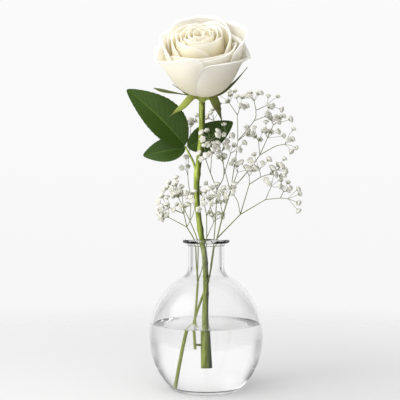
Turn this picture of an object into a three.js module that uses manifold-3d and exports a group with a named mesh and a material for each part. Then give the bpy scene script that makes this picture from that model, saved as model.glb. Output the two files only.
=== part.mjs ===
// A white rose and two sprays of baby's breath in a round glass bud vase.
// Millimetres, +Z up. The origin is the middle of the vase's flat foot, and the front of the arrangement
// faces -Y.

import * as THREE from 'three';
import { mergeVertices } from 'three/addons/utils/BufferGeometryUtils.js';
import Module from 'manifold-3d';

const wasm = await Module();
wasm.setup();

// ---------------------------------------------------------------- driving dimensions

const GAP = 0.3;                 // clearance between neighbouring pieces
const GOLDEN_ANGLE = 137.5;      // degrees from one leaf or petal to the next
const FULL_TURN = 2 * Math.PI;

// Vase: a half ellipse turned round Z, with a narrow neck and a flared lip. Each shoulder starts where the body
// has the radius given here.
const VASE = {
  radius: 50.5, centre: 46.9, halfHeight: 58, wall: 2.3, floor: 4.5, edge: 1.2,
  neckOuter: 16.2, neckInner: 12.3, shoulderOuter: 21.5, shoulderInner: 20,
  lipRadius: 21.1, top: 132.6, lipThickness: 3.1, lipUnder: 3.3, mouthRound: 4,
  segments: 24,
};
const WATER_LEVEL = 58.6;

// Rose: one stem from its cut end in the water to the bloom, which leans towards the front.
const ROSE_STEM = {
  sides: 8, steps: 18,
  radii: [3.7, 3, 2.45, 2.35, 2.45, 2.6, 2.7, 2.8],       // spread evenly from the cut end to the bloom
  path: [[0.3, 4, 24], [-0.8, 2.6, 63], [-0.2, -1, 90], [-1.2, -4.9, 117], [-4.6, -8.5, 138], [-7.2, -11, 157],
    [-8.5, -13, 174], [-8, -14.6, 190], [-5.7, -15.2, 208], [-4, -15, 228], [-3.8, -16, 246],
    [-3.8, -18.9, 252.8]],
};
const KNOT_RADIUS = 3.3;         // of the swelling where a leaf grows on the rose's stem, or grew
const STEM_KNOTS = [[-8, -14.6, 190.5], [-5.2, -9, 142]];
const PETIOLE = {
  radius: 0.95, sides: 5, steps: 8,
  path: [[-8, -14.6, 190.5], [-12.2, -11, 203], [-17.5, -6.7, 213], [-18.5, -6.85, 215.7]],
};

// The bloom leans to the front by `lean` and to the left by `sideLean`, in degrees. Its petals stand a little to
// the right of the calyx.
const CALYX_BASE = [-3.8, -26.75, 262.2];
const BLOOM = { base: [-2.6, -26.75, 262.2], lean: 40, sideLean: -4, thickness: 0.9 };
// The closed bud in the middle, as radius and height in the bloom's frame.
const BLOOM_CORE = [[0, 0.2], [6, 1], [11, 5], [13, 15], [12, 28], [8, 40], [0, 48]];

// What all petals share: the part of their length that follows the bowl, how far the outline drops at the sides
// and how much nearer to the axis these are, as parts of one, and the radius that the margin rolls over.
const PETAL = { bowl: 0.78, corner: 0.34, tuck: 0.09, scroll: 2.2 };

// Inner petals, wound on by the golden angle from the tight heart to the rim of the cup: rim radius, height, and
// in degrees the turn of the profile, the half width and the roll of the margin.
const INNER_PETALS = 9;
const HEART = { rim: 4, height: 56.5, turn: 125, width: 90, roll: 15 };
const CUP = { rim: 20.5, height: 53, turn: 110, width: 75, roll: 45 };

// Outer petals: azimuth (0 right, 90 back, -90 front) and the same, how far the middle of the rim flares out and
// sags, and how much higher the rim is at one side of the petal than in its middle.
const OUTER_PETALS = [
  { azimuth: 150, rim: 24, height: 51.5, turn: 106, width: 90, roll: 50 },
  { azimuth: 30, rim: 25, height: 52, turn: 106, width: 90, roll: 50 },
  { azimuth: -92, rim: 27, height: 46, turn: 102, width: 92, roll: 75 },
  { azimuth: 92, rim: 29.5, height: 53, turn: 100, width: 84, roll: 70, flare: 1 },
  { azimuth: 158, rim: 30, height: 47, turn: 96, width: 66, roll: 90, flare: 3 },
  { azimuth: -50, rim: 28.5, height: 45, turn: 98, width: 84, roll: 80, flare: 1 },
  { azimuth: 12, rim: 34, height: 49, turn: 94, width: 62, roll: 90, flare: 6 },
  { azimuth: -18, rim: 31, height: 41.5, turn: 106, width: 86, roll: 120, flare: 8.5, sag: 7 },
  { azimuth: 205, rim: 32, height: 45, turn: 90, width: 75, roll: 120, flare: 8, sag: 5, tilt: 7 },
];

// The swelling under the bloom, as radius and height in the bloom's frame.
const RECEPTACLE = [[2.4, -11], [4.4, -8], [4.9, -4], [4.2, -0.3]];

// Sepals: from base to tip, the greatest half width, and the way that the blade's face looks. A spoon is widest
// near its tip, the others near their base.
const SEPAL_THICKNESS = 0.9;
const SEPALS = [
  {
    path: [[-5, -22.5, 257], [-11.9, -29, 257.4], [-20.1, -33, 248.6], [-26.1, -34.5, 243.6],
      [-31.4, -35, 238.9]],
    width: 3.1, facing: [-0.3, -1, 0.3],
  },
  {
    path: [[-2.5, -22.5, 257], [4.8, -29, 257.7], [8.7, -33, 249.4], [11.2, -34, 242], [14.7, -34, 230.3]],
    width: 3.9, facing: [0.3, -1, 0.2],
  },
  { path: [[-6, -21.5, 257.6], [-17, -22.5, 259], [-31, -22, 261.8], [-46, -20, 265.4]], width: 2.6,
    facing: [0, -0.6, 1], spoon: true },
  { path: [[-2, -21.5, 257.6], [12, -21, 260.5], [24, -17.5, 270], [36, -16.5, 284]], width: 1.6,
    facing: [0.6, -0.9, -0.4] },
  { path: [[-5, -20.2, 257.4], [-13, -14.5, 259], [-21, -9.5, 264.5], [-30, -9.5, 270]], width: 1.8,
    facing: [0, -0.3, 1] },
];

// Leaflets: base, tip, half width, roll of the blade about its midrib and fold of its halves in degrees, and
// arch of the midrib.
const LEAFLET = { thickness: 0.8, across: 4, along: 14, teeth: 0.035 };
const LEAFLETS = {
  leaflet_end: {
    base: [-18.9, -6.9, 216.1], tip: [-69.8, -12, 264.9], width: 20, roll: 24, fold: 20, arch: 5,
  },
  leaflet_left: {
    base: [-18.6, -5.6, 213.4], tip: [-56.2, 0, 207.7], width: 12, roll: 16, fold: 16, arch: 2,
  },
  leaflet_right: {
    base: [-16.6, -6.1, 214.8], tip: [23.9, 3, 237.7], width: 13, roll: 12, fold: 14, arch: 4,
  },
};

// Baby's breath: each spray is a cut stem and its branches, each with the points that it runs through and the
// number of florets in the sprig that it ends in.
const FLORET = { radius: 2.25, above: 1.3, below: 1.7, sides: 4 };
const TWIG = 0.34;               // radius of a floret's stalk
const BRANCH_SIDES = 3;
const BALL_STEP = 2;             // spacing of the balls that stand for a stem when florets are placed
const CURVE_POINTS = 40;
const KNOT = 1;                  // radius of the swelling where a branch ends or forks
// How far a sprig's florets stand from its branch's end, and the angles that they spread by, in degrees.
const SPRIG = { reach: 12, narrow: 27, wide: 60 };

const RIGHT_SPRAY = {
  seed: 1,
  stem: {
    radius: 1.15, sides: 6, steps: 22,
    path: [[-19.5, 8, 6], [-17.4, 8, 22], [-14.6, 7, 40], [-11.8, 5.8, 54], [-9.2, 4.9, 64.5],
      [-4.6, 5.2, 77.6], [1.2, 4.9, 93], [3.1, 3.6, 100]],
  },
  branches: [
    { path: [[3.1, 3.6, 100], [4.6, 0.5, 113], [6.4, -1.2, 126], [8.3, -3, 150.6], [9.5, -6, 177.2]],
      radius: 0.7 },
    { path: [[9.5, -6, 177.2], [3.7, -12, 191.6], [-0.5, -23, 203]], radius: 0.53, florets: 3 },
    { path: [[3.7, -12, 191.6], [4.9, -20, 209.6]], radius: 0.47, florets: 3 },
    { path: [[4.9, -20, 209.6], [3, -25, 219]], radius: 0.43, florets: 2 },
    { path: [[9.5, -6, 177.2], [15.6, -4, 189.6], [13.9, -11, 211]], radius: 0.5, florets: 3 },
    { path: [[15.6, -4, 189.6], [21.5, -9, 209]], radius: 0.47, florets: 3 },
    { path: [[13.9, -11, 211], [17.2, -17, 221]], radius: 0.43, florets: 2 },
    { path: [[3.1, 3.6, 100], [5.6, 4, 113], [7.5, 4.2, 126], [9.8, 5, 133.5], [15.1, 6, 154],
      [21.9, 6, 175.7]], radius: 0.78 },
    { path: [[21.9, 6, 175.7], [39, 8, 195.4], [48.5, 9, 208.5]], radius: 0.55 },
    { path: [[48.5, 9, 208.5], [62.1, 6, 216.1], [70.5, 3, 217.9]], radius: 0.45, florets: 2 },
    { path: [[48.5, 9, 208.5], [55.9, 14, 224.4]], radius: 0.47, florets: 3 },
    { path: [[48.5, 9, 208.5], [47.9, 17, 222]], radius: 0.45, florets: 2 },
    { path: [[55.9, 14, 224.4], [61, 12, 236]], radius: 0.43, florets: 3 },
    { path: [[21.9, 6, 175.7], [27.1, 12, 207.7], [29, 16, 221.9]], radius: 0.55 },
    { path: [[29, 16, 221.9], [28.8, 20, 245.8]], radius: 0.47 },
    { path: [[28.8, 20, 245.8], [21.5, 23, 257]], radius: 0.43, florets: 3 },
    { path: [[28.8, 20, 245.8], [30.5, 19, 251]], radius: 0.43, florets: 2 },
    { path: [[29, 16, 221.9], [43.6, 12, 239.8], [45.2, 10, 249.1]], radius: 0.47 },
    { path: [[45.2, 10, 249.1], [43.5, 9, 257]], radius: 0.43, florets: 3 },
    { path: [[45.2, 10, 249.1], [54, 9, 253]], radius: 0.43, florets: 2 },
    { path: [[43.6, 12, 239.8], [52.5, 8, 243]], radius: 0.43, florets: 2 },
    { path: [[29, 16, 221.9], [35.5, 15, 227]], radius: 0.43, florets: 2 },
    { path: [[21.9, 6, 175.7], [28.5, 8, 193]], radius: 0.47, florets: 3 },
    { path: [[21.9, 6, 175.7], [15, 14, 202.6]], radius: 0.47, florets: 2 },
    { path: [[15, 14, 202.6], [10, 19, 232], [7, 20, 241]], radius: 0.43, florets: 2 },
    { path: [[9.8, 5, 133.5], [30.5, 0, 155]], radius: 0.65 },
    { path: [[30.5, 0, 155], [34.5, -3, 169], [38.2, -6, 181.8]], radius: 0.53 },
    { path: [[38.2, -6, 181.8], [48.2, -8, 188.1], [55.8, -8, 190.6]], radius: 0.47, florets: 3 },
    { path: [[55.8, -8, 190.6], [63, -9, 194.5]], radius: 0.43, florets: 3 },
    { path: [[48.2, -8, 188.1], [47, -10, 195]], radius: 0.43, florets: 2 },
    { path: [[38.2, -6, 181.8], [38, -8, 189]], radius: 0.43, florets: 2 },
    { path: [[30.5, 0, 155], [52.9, -2, 168.3]], radius: 0.53 },
    { path: [[52.9, -2, 168.3], [57.3, -10, 180]], radius: 0.43, florets: 2 },
    { path: [[52.9, -2, 168.3], [66.1, -2, 169.5], [73, -1, 169]], radius: 0.45, florets: 2 },
    { path: [[66.1, -2, 169.5], [68.5, -3, 175]], radius: 0.43, florets: 2 },
    { path: [[30.5, 0, 155], [28, -6, 166], [24.5, -10, 172]], radius: 0.45, florets: 3 },
    { path: [[15.1, 6, 154], [13, -2, 163], [11, -8, 171]], radius: 0.43, florets: 3 },
    { path: [[8.3, -3, 150.6], [5, -10, 158], [2.5, -17, 165]], radius: 0.43, florets: 3 },
  ],
};

const LEFT_SPRAY = {
  seed: 2,
  stem: {
    radius: 1.0, sides: 6, steps: 14,
    path: [[-7.5, -3, 38], [-8.3, -4, 50], [-9.8, -4.4, 62], [-8.5, -2.8, 78.6], [-7.5, -1.4, 93.3]],
  },
  branches: [
    { path: [[-7.5, -1.4, 93.3], [-8.7, -2, 112.5], [-9.3, -1.6, 126], [-10.9, -2.2, 133], [-17.2, -6, 144]],
      radius: 0.68 },
    { path: [[-17.2, -6, 144], [-33, -10, 152.5]], radius: 0.45, florets: 3 },
    { path: [[-17.2, -6, 144], [-19.7, -8, 155.8]], radius: 0.53, florets: 2 },
    { path: [[-19.7, -8, 155.8], [-32, -11, 161]], radius: 0.45, florets: 3 },
    { path: [[-19.7, -8, 155.8], [-21.1, -12, 171]], radius: 0.47, florets: 2 },
    { path: [[-21.1, -12, 171], [-26, -14, 177]], radius: 0.43, florets: 3 },
    { path: [[-17.2, -6, 144], [-12.5, -14, 153], [-10, -20.5, 161]], radius: 0.45, florets: 3 },
    { path: [[-7.5, -1.4, 93.3], [-7.6, 1.8, 112], [-7.4, 3.4, 126], [-8.4, 4, 134], [-14.5, 7, 149]],
      radius: 0.62 },
    { path: [[-14.5, 7, 149], [-25, 12, 170]], radius: 0.45, florets: 3 },
    { path: [[-14.5, 7, 149], [-13.5, 9, 167]], radius: 0.47, florets: 3 },
    { path: [[-13.5, 9, 167], [-16.5, 13, 190], [-15, 17, 218], [-14, 18, 234]], radius: 0.43, florets: 2 },
    { path: [[-16.5, 13, 190], [-18, 9, 195]], radius: 0.39, florets: 2 },
    { path: [[-7.5, -1.4, 93.3], [-4.6, 3.8, 104], [-1, 4.4, 118], [0.4, 3, 134], [0.5, 1.5, 153.6]],
      radius: 0.62 },
    { path: [[0.5, 1.5, 153.6], [-3, 2, 171]], radius: 0.45, florets: 2 },
    { path: [[0.5, 1.5, 153.6], [5, 5, 164]], radius: 0.45, florets: 3 },
    { path: [[0.4, 3, 134], [7, 10, 148]], radius: 0.45, florets: 2 },
  ],
};

const MATERIALS = {
  glass: { color: '#dfe8e4', roughness: 0.04 },
  water: { color: '#e6f0ef', roughness: 0.02 },
  stem: { color: '#7d9236', roughness: 0.5 },
  sepal: { color: '#9cae4c', roughness: 0.55 },
  petal: { color: '#f5f1e2', roughness: 0.6 },
  leaf: { color: '#34561c', roughness: 0.42 },
  spray: { color: '#e6e8d6', roughness: 0.7 },
};

// ---------------------------------------------------------------- helpers

const point = ([x, y, z]) => new THREE.Vector3(x, y, z);
const smooth = (path) => new THREE.CatmullRomCurve3(path.map(point), false, 'catmullrom', 0.5);
const radians = THREE.MathUtils.degToRad;

// A number from 0 to 1 that depends only on a and b.
function noise(a, b) {
  const wide = Math.sin(a * 12.9898 + b * 78.233) * 43758.5453;
  return wide - Math.floor(wide);
}

// The direction at `angle` degrees from `axis`, turned by `turn` degrees about it.
function lean(axis, angle, turn) {
  const right = new THREE.Vector3(0, 1, 0).cross(axis).normalize();
  const ahead = axis.clone().cross(right);
  return axis.clone().multiplyScalar(Math.cos(radians(angle)))
    .addScaledVector(right, Math.sin(radians(angle)) * Math.cos(radians(turn)))
    .addScaledVector(ahead, Math.sin(radians(angle)) * Math.sin(radians(turn)));
}

// The closed solid of a geometry, for joining and cutting.
function solidOf(geometry) {
  const bare = geometry.clone();
  bare.deleteAttribute('normal');
  bare.deleteAttribute('uv');
  const merged = mergeVertices(bare, 1e-4);
  const index = merged.index.array;
  const triangles = [];
  for (let i = 0; i < index.length; i += 3) {
    const [a, b, c] = [index[i], index[i + 1], index[i + 2]];
    if (a !== b && b !== c && c !== a) triangles.push(a, b, c);
  }
  return new wasm.Manifold(new wasm.Mesh({
    numProp: 3,
    vertProperties: new Float32Array(merged.attributes.position.array),
    triVerts: new Uint32Array(triangles),
  }));
}

function geometryOf(solid) {
  const mesh = solid.getMesh();
  const geometry = new THREE.BufferGeometry();
  geometry.setAttribute('position', new THREE.BufferAttribute(mesh.vertProperties, 3));
  geometry.setIndex(new THREE.BufferAttribute(mesh.triVerts, 1));
  geometry.computeVertexNormals();
  return geometry;
}

// The largest body of a fused solid: hollows that the fusing sealed and loose scraps are left out.
const largestBody = (solid) => solid.decompose().sort((a, b) => b.volume() - a.volume())[0];

const fused = (solids) => largestBody(wasm.Manifold.union(solids));

// A solid of revolution about Z from [radius, height] pairs that run up the outside.
function turned(profile, segments) {
  const outline = profile.map(([r, z]) => new THREE.Vector2(r, z));
  return solidOf(new THREE.LatheGeometry(outline, segments).rotateX(Math.PI / 2));
}

// Points of a round stretch of a profile: centre, radii across and up, first and last angle in degrees.
function arc([r, z], across, up, first, last, steps) {
  return Array.from({ length: steps + 1 }, (_, i) => {
    const angle = radians(first + (last - first) * i / steps);
    return [r + across * Math.cos(angle), z + up * Math.sin(angle)];
  });
}

// A round stem of one thickness along a smooth curve.
function stem({ path, radius, sides, steps }, extra = 0) {
  const corners = Array.from({ length: sides }, (_, i) => new THREE.Vector2(radius + extra, 0)
    .rotateAround(new THREE.Vector2(), FULL_TURN * i / sides));
  const options = { steps, extrudePath: smooth(path), bevelEnabled: false };
  return solidOf(new THREE.ExtrudeGeometry(new THREE.Shape(corners), options));
}

// The rose's stem, whose radius changes along its length.
function roseStem({ path, radii, sides, steps }, extra = 0) {
  const curve = smooth(path);
  const thickness = smooth(radii.map((radius) => [radius, 0, 0]));
  const { normals, binormals } = curve.computeFrenetFrames(steps);
  const places = curve.getSpacedPoints(steps).flatMap((centre, row) => {
    const radius = thickness.getPoint(row / steps).x + extra;
    return Array.from({ length: sides }, (_, i) => {
      const angle = FULL_TURN * i / sides;
      return centre.clone().addScaledVector(normals[row], radius * Math.cos(angle))
        .addScaledVector(binormals[row], radius * Math.sin(angle)).toArray();
    });
  });
  const triangles = [];
  for (let row = 0; row < steps; row++) {
    for (let i = 0; i < sides; i++) {
      const [a, b] = [row * sides + i, row * sides + (i + 1) % sides];
      triangles.push(a, b, b + sides, a, b + sides, a + sides);
    }
  }
  const last = steps * sides;
  for (let i = 1; i < sides - 1; i++) {
    triangles.push(0, i + 1, i);
    triangles.push(last, last + i, last + i + 1);
  }
  const geometry = new THREE.BufferGeometry();
  geometry.setAttribute('position', new THREE.Float32BufferAttribute(places.flat(), 3));
  geometry.setIndex(triangles);
  return solidOf(geometry);
}

// A floret on its straight stalk, from the end of a branch to the floret's place.
function stalkedFloret(root, tip) {
  const along = tip.clone().sub(root);
  const length = along.length();
  const outline = [
    [0, 0], [TWIG, 0], [TWIG, length - FLORET.below], [FLORET.radius, length], [0, length + FLORET.above],
  ].map(([r, z]) => new THREE.Vector2(r, z));
  const turn = new THREE.Quaternion().setFromUnitVectors(new THREE.Vector3(0, 1, 0), along.normalize());
  const geometry = new THREE.LatheGeometry(outline, FLORET.sides).applyQuaternion(turn);
  return solidOf(geometry.translate(root.x, root.y, root.z));
}

// A thin closed blade round surface(u, v), u from -1 to 1 across and v from 0 to 1 along. Both faces are
// split into the same triangles.
function blade(surface, across, along, thickness) {
  const grid = [];
  for (let j = 0; j <= along; j++) {
    for (let i = 0; i <= across; i++) grid.push(surface(2 * i / across - 1, j / along));
  }
  const columns = across + 1;
  const at = (i, j) => grid[Math.min(Math.max(j, 0), along) * columns + Math.min(Math.max(i, 0), across)];
  const front = [];
  const back = [];
  for (let j = 0; j <= along; j++) {
    for (let i = 0; i <= across; i++) {
      const acrossIt = at(i + 1, j).clone().sub(at(i - 1, j));
      const alongIt = at(i, j + 1).clone().sub(at(i, j - 1));
      const normal = acrossIt.cross(alongIt).normalize();
      front.push(at(i, j).clone().addScaledVector(normal, thickness / 2));
      back.push(at(i, j).clone().addScaledVector(normal, -thickness / 2));
    }
  }
  const offset = grid.length;
  const triangles = [];
  const quad = (a, b, c, d) => triangles.push(a, b, c, a, c, d);
  for (let j = 0; j < along; j++) {
    for (let i = 0; i < across; i++) {
      const corner = j * columns + i;
      const [a, b, c, d] = [corner, corner + 1, corner + columns + 1, corner + columns];
      triangles.push(a, b, c, a, c, d);
      triangles.push(a + offset, c + offset, b + offset, a + offset, d + offset, c + offset);
    }
  }
  for (let i = 0; i < across; i++) {
    const last = along * columns + i;
    quad(i + 1, i, i + offset, i + 1 + offset);
    quad(last, last + 1, last + 1 + offset, last + offset);
  }
  for (let j = 0; j < along; j++) {
    const left = j * columns;
    const right = left + across;
    quad(left, left + columns, left + columns + offset, left + offset);
    quad(right + columns, right, right + offset, right + columns + offset);
  }
  const geometry = new THREE.BufferGeometry();
  const places = [...front, ...back].flatMap((p) => p.toArray());
  geometry.setAttribute('position', new THREE.Float32BufferAttribute(places, 3));
  geometry.setIndex(triangles);
  return solidOf(geometry);
}

// ---------------------------------------------------------------- vase and water

// Rising outline of the body, set in by `inset` from the outside, between two heights.
function body(inset, low, high, steps) {
  const up = VASE.halfHeight - inset;
  const [first, last] = [low, high].map((z) => THREE.MathUtils.radToDeg(Math.asin((z - VASE.centre) / up)));
  return arc([0, VASE.centre], VASE.radius - inset, up, first, last, steps);
}

// The bend from the body, where its radius is `start`, into the upright neck: a quadratic curve whose middle
// point is where the body's tangent meets the neck's wall.
function shoulder(inset, neck, start, steps) {
  const [across, up] = [VASE.radius - inset, VASE.halfHeight - inset];
  const cosine = start / across;
  const sine = Math.sqrt(1 - cosine ** 2);
  const foot = new THREE.Vector2(start, VASE.centre + up * sine);
  const knee = new THREE.Vector2(neck, VASE.centre + up * (1 - neck * cosine / across) / sine);
  const head = new THREE.Vector2(neck, knee.y + foot.distanceTo(knee));
  return new THREE.QuadraticBezierCurve(foot, knee, head).getPoints(steps).map(({ x, y }) => [x, y]);
}

function makeVase() {
  const outer = shoulder(0, VASE.neckOuter, VASE.shoulderOuter, 3);
  const inner = shoulder(VASE.wall, VASE.neckInner, VASE.shoulderInner, 3);
  const edge = VASE.lipThickness / 2;
  const outside = [
    ...body(0, VASE.edge, outer[0][1], 11),
    ...outer.slice(1),
    ...arc([VASE.neckOuter + VASE.lipUnder, VASE.top - VASE.lipThickness - VASE.lipUnder],
      VASE.lipUnder, VASE.lipUnder, 180, 90, 3),
    ...arc([VASE.lipRadius - edge, VASE.top - edge], edge, edge, -90, 90, 4),
  ];
  const inside = [
    ...body(VASE.wall, VASE.floor, WATER_LEVEL, 7),
    ...body(VASE.wall, WATER_LEVEL, inner[0][1], 4).slice(1),
    ...inner.slice(1),
    ...arc([VASE.neckInner + VASE.mouthRound, VASE.top - VASE.mouthRound],
      VASE.mouthRound, VASE.mouthRound, 180, 90, 3),
  ];
  const foot = outside[0][0] - VASE.edge;
  return turned([[0, 0], [foot, 0], ...outside, ...inside.reverse(), [0, VASE.floor]], VASE.segments);
}

// The water, clear of the glass and of the stems that stand in it.
function makeWater() {
  const side = body(VASE.wall + GAP, VASE.floor + GAP, WATER_LEVEL, 7);
  return turned([[0, VASE.floor + GAP], ...side, [0, WATER_LEVEL]], VASE.segments)
    .subtract(roseStem(ROSE_STEM, GAP))
    .subtract(stem(RIGHT_SPRAY.stem, GAP))
    .subtract(stem(LEFT_SPRAY.stem, GAP));
}

// ---------------------------------------------------------------- rose

function makeRoseStem() {
  const knots = STEM_KNOTS.map(([x, y, z]) => {
    const ball = new THREE.SphereGeometry(KNOT_RADIUS, 7, 4);
    return solidOf(ball.rotateX(Math.PI / 2).translate(x, y, z));
  });
  return fused([roseStem(ROSE_STEM), stem(PETIOLE), ...knots]);
}

// A sepal: a narrow blade that ends in a thread or, as a spoon, in a leafy tip.
function sepal({ path, width, facing, spoon }) {
  const rib = smooth(path);
  return blade((u, v) => {
    const side = rib.getTangent(v).cross(point(facing)).normalize();
    const share = spoon ? v ** 3.2 : Math.min(1, 0.22 + 0.86 * v);
    const half = 0.45 + width * Math.max(0, Math.sin(Math.PI * share)) ** 1.2;
    return rib.getPoint(v).addScaledVector(side, half * u);
  }, 2, 7, SEPAL_THICKNESS);
}

function makeCalyx() {
  const [low, high] = [RECEPTACLE[0][1], RECEPTACLE.at(-1)[1]];
  const receptacle = turned([[0, low], ...RECEPTACLE, [0, high]], ROSE_STEM.sides);
  return fused([leanBloom(receptacle, CALYX_BASE), ...SEPALS.map(sepal)]);
}

// From the bloom's own frame, with +Z along its axis and +Y to its back, to its place at `base`.
function leanBloom(solid, base) {
  return solid.rotate([BLOOM.lean, BLOOM.sideLean, 0]).translate(base);
}

// A petal follows a bowl: its radius goes as a power of the sine and its height as the versine of an angle that
// grows to `turn`, less far at its rounded sides, which are tucked in. Past that its margin rolls outward over
// a small circle.
function petal({ azimuth, rim, height, turn, width, roll, flare = 0, sag = 0, tilt = 0 }) {
  const full = radians(turn);
  const scroll = PETAL.scroll * Math.min(1, rim / CUP.rim);
  return (u, v) => {
    const level = Math.min(v / PETAL.bowl, 1) * (1 - PETAL.corner * Math.abs(u) ** (4 + 0.7 * flare));
    const angle = full * level;
    const rolled = Math.max(0, (v - PETAL.bowl) / (1 - PETAL.bowl)) * (1 - 0.7 * Math.abs(u) ** 4);
    const bend = radians(roll) * rolled;
    const tip = (1 - Math.abs(u)) ** 2.6 * level ** 6;
    const swell = Math.sin(angle) ** 0.8 * (1 - PETAL.tuck * u ** 4);
    const rise = (1 - Math.cos(angle)) / (1 - Math.cos(full));
    const radius = 2 + (rim - 2) * swell + flare * tip + scroll * (1 - Math.cos(bend));
    const up = 1 + (height + tilt * u - 1) * rise + scroll * Math.sin(bend) - sag * tip;
    const around = radians(azimuth + width * u);
    return new THREE.Vector3(radius * Math.cos(around), radius * Math.sin(around), up);
  };
}

// The i-th petal of the cup, whose shape lies between the heart's and the cup's by a power of i.
function innerPetal(i) {
  const t = i / (INNER_PETALS - 1);
  const between = (key, power) => THREE.MathUtils.lerp(HEART[key], CUP[key], t ** power);
  return {
    azimuth: GOLDEN_ANGLE * i,
    rim: between('rim', 0.85),
    height: between('height', 1.3),
    turn: between('turn', 1),
    width: between('width', 0.6),
    roll: between('roll', 1.5),
  };
}

function makeBloom() {
  const wound = Array.from({ length: INNER_PETALS }, (_, i) => innerPetal(i));
  const inner = wound.map((each) => blade(petal(each), 4, 4, BLOOM.thickness));
  const outer = OUTER_PETALS.map((each) => blade(petal(each), 6, 4, BLOOM.thickness));
  return leanBloom(fused([turned(BLOOM_CORE, 10), ...inner, ...outer]), BLOOM.base);
}

// A leaflet: pointed oval, folded along its midrib, arched, with fine teeth on its edge.
function leaflet({ base, tip, width, roll, fold, arch }) {
  const start = point(base);
  const ahead = point(tip).sub(start);
  const forward = ahead.clone().normalize();
  const flatSide = new THREE.Vector3(0, -1, 0).cross(forward).normalize();
  flatSide.applyAxisAngle(forward, radians(roll));
  const flatUp = forward.clone().cross(flatSide);
  return blade((u, v) => {
    const toothed = Math.round(v * LEAFLET.along) % 2 ? LEAFLET.teeth : -LEAFLET.teeth;
    const tooth = Math.abs(u) === 1 ? 1 + toothed : 1;
    const half = 0.5 + width * tooth * Math.sin(Math.PI * v ** 0.8) ** 0.75 * (1 - 0.18 * v);
    const lift = half * Math.abs(u) * Math.sin(radians(fold));
    const place = start.clone().addScaledVector(ahead, v);
    place.addScaledVector(flatSide, half * u * Math.cos(radians(fold)));
    return place.addScaledVector(flatUp, lift + arch * Math.sin(Math.PI * v));
  }, LEAFLET.across, LEAFLET.along, LEAFLET.thickness);
}

// ---------------------------------------------------------------- baby's breath

// The florets' places in one sprig, round the end of its branch by the golden angle. Each place depends only
// on the floret's number.
function sprig(root, heading, count, seed) {
  return Array.from({ length: count }, (_, k) => {
    const spread = THREE.MathUtils.lerp(SPRIG.narrow, SPRIG.wide, noise(seed, k));
    const direction = lean(heading, spread, GOLDEN_ANGLE * k + 360 * noise(seed, 0.5));
    return root.clone().addScaledVector(direction, SPRIG.reach * (0.5 + 0.6 * noise(seed + 0.5, k)));
  });
}

// Balls along a run of points, which twigs of other pieces keep clear of.
function ballsAlong(points, radius) {
  return points.slice(1).flatMap((to, i) => {
    const from = points[i];
    const steps = Math.max(1, Math.ceil(from.distanceTo(to) / BALL_STEP));
    const centres = Array.from({ length: steps + 1 }, (_, k) => from.clone().lerp(to, k / steps));
    return centres.map((centre) => ({ centre, radius }));
  });
}

const ballsOnCurve = ({ path, radius }) => ballsAlong(smooth(path).getPoints(CURVE_POINTS), radius);

const ballsOfSpray = ({ stem: main, branches }) => [main, ...branches].flatMap(ballsOnCurve);

function ballsOfRose() {
  const leaflets = Object.values(LEAFLETS).flatMap(({ base, tip, width }) => [0.25, 0.5, 0.75].map(
    (t) => ({ centre: point(base).lerp(point(tip), t), radius: width })));
  return [
    ...ballsOnCurve({ path: ROSE_STEM.path, radius: KNOT_RADIUS }),
    ...ballsOnCurve(PETIOLE),
    ...SEPALS.flatMap(({ path, width }) => ballsOnCurve({ path, radius: width })),
    ...leaflets,
  ];
}

const isClear = (balls, others) => balls.every(({ centre, radius }) => others.every(
  (other) => other.centre.distanceTo(centre) > other.radius + radius + 2 * GAP));

// One spray, and the balls of its florets. Those that would meet `others` are left off.
function makeSpray({ seed, stem: main, branches }, others) {
  const solids = [stem(main)];
  const grown = [];
  branches.forEach(({ path, radius, florets = 0 }, number) => {
    const steps = path.length > 2 ? 2 * (path.length - 1) : 1;
    const root = point(path.at(-1));
    const heading = root.clone().sub(point(path.at(-2))).normalize();
    solids.push(stem({ path, radius, sides: BRANCH_SIDES, steps }));
    solids.push(solidOf(new THREE.OctahedronGeometry(KNOT).translate(root.x, root.y, root.z)));
    for (const tip of sprig(root, heading, florets, 100 * seed + number)) {
      const balls = [...ballsAlong([root, tip], TWIG), { centre: tip, radius: FLORET.radius }];
      if (!isClear(balls, others)) continue;
      solids.push(stalkedFloret(root, tip));
      grown.push(...balls);
    }
  });
  return { solid: fused(solids), grown };
}

// ---------------------------------------------------------------- the arrangement

function node(name, solid, { color, roughness }) {
  const material = new THREE.MeshStandardMaterial({ color, roughness, metalness: 0 });
  const mesh = new THREE.Mesh(geometryOf(solid), material);
  mesh.name = name;
  return mesh;
}

const rose = ballsOfRose();
const rightSpray = makeSpray(RIGHT_SPRAY, [...rose, ...ballsOfSpray(LEFT_SPRAY)]);
const leftSpray = makeSpray(LEFT_SPRAY, [...rose, ...ballsOfSpray(RIGHT_SPRAY), ...rightSpray.grown]);

const arrangement = new THREE.Group();
arrangement.name = 'rose_in_vase';
arrangement.add(
  node('vase', makeVase(), MATERIALS.glass),
  node('water', makeWater(), MATERIALS.water),
  node('rose_stem', makeRoseStem(), MATERIALS.stem),
  node('rose_calyx', makeCalyx(), MATERIALS.sepal),
  node('rose_bloom', makeBloom(), MATERIALS.petal),
  ...Object.entries(LEAFLETS).map(([name, shape]) => node(name, leaflet(shape), MATERIALS.leaf)),
  node('babys_breath_right', rightSpray.solid, MATERIALS.spray),
  node('babys_breath_left', leftSpray.solid, MATERIALS.spray),
);

export default arrangement;
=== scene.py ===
"""A white rose and two sprays of baby's breath in a round glass bud vase, dressed around its CAD frame.

Shapes are worked out in millimetres, in the CAD's own frame, and turned to metres as their meshes are made.
"""
import math

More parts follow.
